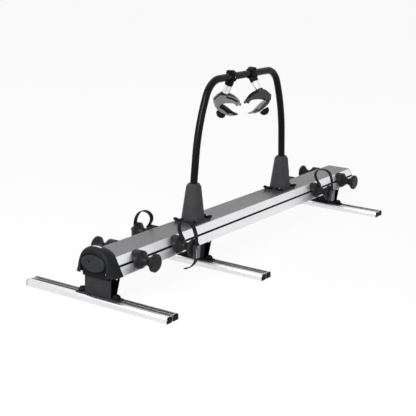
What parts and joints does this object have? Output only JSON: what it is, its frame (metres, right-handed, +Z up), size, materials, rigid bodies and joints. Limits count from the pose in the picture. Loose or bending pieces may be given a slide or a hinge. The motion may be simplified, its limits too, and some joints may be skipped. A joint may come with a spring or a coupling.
{
  "type": "slide-out bike carrier",
  "caption": "Bike carrier with a long rail that rolls out over floor rails, a hoop with clamp arms, and sliding wheel holders with ratchet straps.",
  "frame": {"origin": "on the floor under the middle of the carrier: the centre of the bottom of the bounding box", "axes": "+X along the main rail towards its rear end, +Z up, +Y to the left of someone who looks along the rail from its front end; the rail slides out towards -X"},
  "size_m": [1.94, 0.692, 0.7591],
  "materials": {
    "rail_aluminium": "satin anodised, finely ribbed on top",
    "floor_aluminium": "bright mill finish",
    "arm_aluminium": "bright brushed",
    "bracket_black": "satin black powder coat",
    "hoop_black": "glossy black paint",
    "hood_plastic": "fine-grained moulding",
    "handle_plastic": "smooth moulding",
    "base_plastic": "fine-grained moulding",
    "black_plastic": "fine-grained moulding",
    "claw_grey": "smooth moulding",
    "claw_dark": "smooth moulding",
    "spool_plastic": "smooth moulding",
    "strap_rubber": "ribbed flexible band",
    "lever_plastic": "smooth moulding",
    "steel": "zinc plated",
    "glide_nylon": "natural nylon"
  },
  "bodies": {
    "root": {"floor_rails": "floor_aluminium", "floor_rail_end_plugs": "black_plastic", "bracket_front": "bracket_black", "bracket_middle": "bracket_black", "bracket_rear": "bracket_black", "foot_bolts": "steel", "foot_knobs": "black_plastic", "roller_axles": "steel", "glide_shoes": "glide_nylon"},
    "carriage": {"main_rail": "rail_aluminium", "rear_end_cap": "black_plastic", "travel_stop": "bracket_black", "front_hood": "hood_plastic", "latch_housing": "hood_plastic", "housing_screws": "steel", "handle_pin": "steel", "hoop_tube": "hoop_black", "hoop_base_front": "base_plastic", "hoop_base_rear": "base_plastic", "base_studs": "steel", "base_wing_nuts": "black_plastic"},
    "handle": {"release_handle": "handle_plastic"},
    "latch": {"latch_bolt": "steel"},
    "front_roller": {"roller_front": "glide_nylon"},
    "middle_roller": {"roller_middle": "glide_nylon"},
    "rear_roller": {"roller_rear": "glide_nylon"},
    "front_arm": {"clamp_cap_front": "black_plastic", "clamp_body_front": "black_plastic", "clamp_screws_front": "steel", "arm_tube_front": "arm_aluminium"},
    "front_claw": {"claw_front": "claw_grey"},
    "front_jaw": {"claw_jaw_front": "claw_grey"},
    "front_claw_knob": {"claw_knob_front": "black_plastic"},
    "rear_arm": {"clamp_cap_rear": "black_plastic", "clamp_body_rear": "black_plastic", "clamp_screws_rear": "steel", "arm_tube_rear": "arm_aluminium"},
    "rear_claw": {"claw_rear": "claw_dark"},
    "rear_jaw": {"claw_jaw_rear": "claw_dark"},
    "rear_claw_knob": {"claw_knob_rear": "black_plastic"},
    "front_right_plain_holder": {"plain_cradle_front_right": "spool_plastic"},
    "front_right_holder_knob": {"cradle_knob_front_right": "spool_plastic"},
    "front_left_plain_holder": {"plain_cradle_front_left": "spool_plastic"},
    "front_left_holder_knob": {"cradle_knob_front_left": "spool_plastic"},
    "rear_right_plain_holder": {"plain_cradle_rear_right": "spool_plastic"},
    "rear_right_holder_knob": {"cradle_knob_rear_right": "spool_plastic"},
    "rear_left_plain_holder": {"plain_cradle_rear_left": "spool_plastic"},
    "rear_left_holder_knob": {"cradle_knob_rear_left": "spool_plastic"},
    "front_right_strap_holder": {"strap_cradle_front_right": "spool_plastic", "wheel_strap_front_right": "strap_rubber"},
    "front_right_lever": {"buckle_lever_front_right": "lever_plastic"},
    "front_left_strap_holder": {"strap_cradle_front_left": "spool_plastic", "wheel_strap_front_left": "strap_rubber"},
    "front_left_lever": {"buckle_lever_front_left": "lever_plastic"},
    "rear_right_strap_holder": {"strap_cradle_rear_right": "spool_plastic", "wheel_strap_rear_right": "strap_rubber"},
    "rear_right_lever": {"buckle_lever_rear_right": "lever_plastic"},
    "rear_left_strap_holder": {"strap_cradle_rear_left": "spool_plastic", "wheel_strap_rear_left": "strap_rubber"},
    "rear_left_lever": {"buckle_lever_rear_left": "lever_plastic"}
  },
  "joints": [
    {"name": "rail_slide", "type": "slide", "parent": "root", "child": "carriage", "axis": [-1, 0, 0], "range_m": [0, 1.2]},
    {"name": "front_roller_spin", "type": "hinge", "parent": "root", "child": "front_roller", "pos_m": [-0.9065, 0, 0.0957], "axis": [0, 1, 0], "range_deg": [-4600, 30]},
    {"name": "middle_roller_spin", "type": "hinge", "parent": "root", "child": "middle_roller", "pos_m": [-0.3135, 0, 0.0957], "axis": [0, 1, 0], "range_deg": [-4600, 30]},
    {"name": "rear_roller_spin", "type": "hinge", "parent": "root", "child": "rear_roller", "pos_m": [0.841, 0, 0.0957], "axis": [0, 1, 0], "range_deg": [-4600, 30]},
    {"name": "handle_hinge", "type": "hinge", "parent": "carriage", "child": "handle", "pos_m": [-0.953, 0, 0.17], "axis": [0, 1, 0], "range_deg": [-2, 20]},
    {"name": "latch_slide", "type": "slide", "parent": "carriage", "child": "latch", "axis": [0, 0, 1], "range_m": [-0.0085, 0.001]},
    {"name": "front_arm_swing", "type": "hinge", "parent": "carriage", "child": "front_arm", "pos_m": [-0.087, 0, 0.72957], "axis": [1, 0, 0], "range_deg": [-96, 54]},
    {"name": "front_claw_swivel", "type": "hinge", "parent": "front_arm", "child": "front_claw", "pos_m": [-0.087, 0.02795, 0.65675], "axis": [0, -0.3584, 0.9336], "range_deg": [-270, 5]},
    {"name": "front_jaw_hinge", "type": "hinge", "parent": "front_claw", "child": "front_jaw", "pos_m": [-0.10114, 0.05907, 0.61514], "axis": [0.7071, 0.6601, 0.2534], "range_deg": [-8, 30]},
    {"name": "front_claw_knob_turn", "type": "hinge", "parent": "front_jaw", "child": "front_claw_knob", "pos_m": [-0.0771, 0.04881, 0.57478], "axis": [-0.1228, 0.4676, -0.8754], "range_deg": [-250, 910]},
    {"name": "rear_arm_swing", "type": "hinge", "parent": "carriage", "child": "rear_arm", "pos_m": [0.065, 0, 0.72957], "axis": [1, 0, 0], "range_deg": [-44, 106]},
    {"name": "rear_claw_swivel", "type": "hinge", "parent": "rear_arm", "child": "rear_claw", "pos_m": [0.065, -0.04017, 0.66271], "axis": [0, 0.515, 0.8572], "range_deg": [-270, 5]},
    {"name": "rear_jaw_hinge", "type": "hinge", "parent": "rear_claw", "child": "rear_jaw", "pos_m": [0.07914, -0.07805, 0.62714], "axis": [-0.7071, -0.6061, 0.3642], "range_deg": [-8, 30]},
    {"name": "rear_claw_knob_turn", "type": "hinge", "parent": "rear_jaw", "child": "rear_claw_knob", "pos_m": [0.0551, -0.07495, 0.58561], "axis": [0.1228, -0.6125, -0.7809], "range_deg": [-250, 910]},
    {"name": "front_right_plain_holder_slide", "type": "slide", "parent": "carriage", "child": "front_right_plain_holder", "axis": [1, 0, 0], "range_m": [-0.06, 0.06]},
    {"name": "front_right_holder_knob_turn", "type": "hinge", "parent": "front_right_plain_holder", "child": "front_right_holder_knob", "pos_m": [-0.8, -0.119, 0.143], "axis": [0, -1, 0], "continuous": true},
    {"name": "front_left_plain_holder_slide", "type": "slide", "parent": "carriage", "child": "front_left_plain_holder", "axis": [1, 0, 0], "range_m": [-0.09, 0.07]},
    {"name": "front_left_holder_knob_turn", "type": "hinge", "parent": "front_left_plain_holder", "child": "front_left_holder_knob", "pos_m": [-0.758, 0.119, 0.143], "axis": [0, 1, 0], "continuous": true},
    {"name": "rear_right_plain_holder_slide", "type": "slide", "parent": "carriage", "child": "rear_right_plain_holder", "axis": [1, 0, 0], "range_m": [-0.07, 0.08]},
    {"name": "rear_right_holder_knob_turn", "type": "hinge", "parent": "rear_right_plain_holder", "child": "rear_right_holder_knob", "pos_m": [0.832, -0.119, 0.143], "axis": [0, -1, 0], "continuous": true},
    {"name": "rear_left_plain_holder_slide", "type": "slide", "parent": "carriage", "child": "rear_left_plain_holder", "axis": [1, 0, 0], "range_m": [-0.07, 0.05]},
    {"name": "rear_left_holder_knob_turn", "type": "hinge", "parent": "rear_left_plain_holder", "child": "rear_left_holder_knob", "pos_m": [0.867, 0.119, 0.143], "axis": [0, 1, 0], "continuous": true},
    {"name": "front_right_strap_holder_slide", "type": "slide", "parent": "carriage", "child": "front_right_strap_holder", "axis": [1, 0, 0], "range_m": [-0.07, 0.15]},
    {"name": "front_right_lever_hinge", "type": "hinge", "parent": "front_right_strap_holder", "child": "front_right_lever", "pos_m": [-0.56, -0.1719, 0.149], "axis": [-1, 0, 0], "range_deg": [0, 75], "stiffness_Nm_per_rad": 0.04, "springref_deg": -11.46},
    {"name": "front_left_strap_holder_slide", "type": "slide", "parent": "carriage", "child": "front_left_strap_holder", "axis": [1, 0, 0], "range_m": [-0.07, 0.15]},
    {"name": "front_left_lever_hinge", "type": "hinge", "parent": "front_left_strap_holder", "child": "front_left_lever", "pos_m": [-0.506, 0.1719, 0.149], "axis": [1, 0, 0], "range_deg": [0, 75], "stiffness_Nm_per_rad": 0.04, "springref_deg": -11.46},
    {"name": "rear_right_strap_holder_slide", "type": "slide", "parent": "carriage", "child": "rear_right_strap_holder", "axis": [1, 0, 0], "range_m": [-0.15, 0.07]},
    {"name": "rear_right_lever_hinge", "type": "hinge", "parent": "rear_right_strap_holder", "child": "rear_right_lever", "pos_m": [0.564, -0.1719, 0.149], "axis": [-1, 0, 0], "range_deg": [0, 75], "stiffness_Nm_per_rad": 0.04, "springref_deg": -11.46},
    {"name": "rear_left_strap_holder_slide", "type": "slide", "parent": "carriage", "child": "rear_left_strap_holder", "axis": [1, 0, 0], "range_m": [-0.15, 0.07]},
    {"name": "rear_left_lever_hinge", "type": "hinge", "parent": "rear_left_strap_holder", "child": "rear_left_lever", "pos_m": [0.602, 0.1719, 0.149], "axis": [1, 0, 0], "range_deg": [0, 75], "stiffness_Nm_per_rad": 0.04, "springref_deg": -11.46}
  ],
  "couplings": [
    {"joint": "front_roller_spin", "follows": "rail_slide", "rad_per_m": -66.667},
    {"joint": "middle_roller_spin", "follows": "rail_slide", "rad_per_m": -66.667},
    {"joint": "rear_roller_spin", "follows": "rail_slide", "rad_per_m": -66.667},
    {"joint": "latch_slide", "follows": "handle_hinge", "m_per_rad": -0.0231},
    {"joint": "front_claw_knob_turn", "follows": "front_jaw_hinge", "ratio": 30},
    {"joint": "rear_claw_knob_turn", "follows": "rear_jaw_hinge", "ratio": 30}
  ]
}
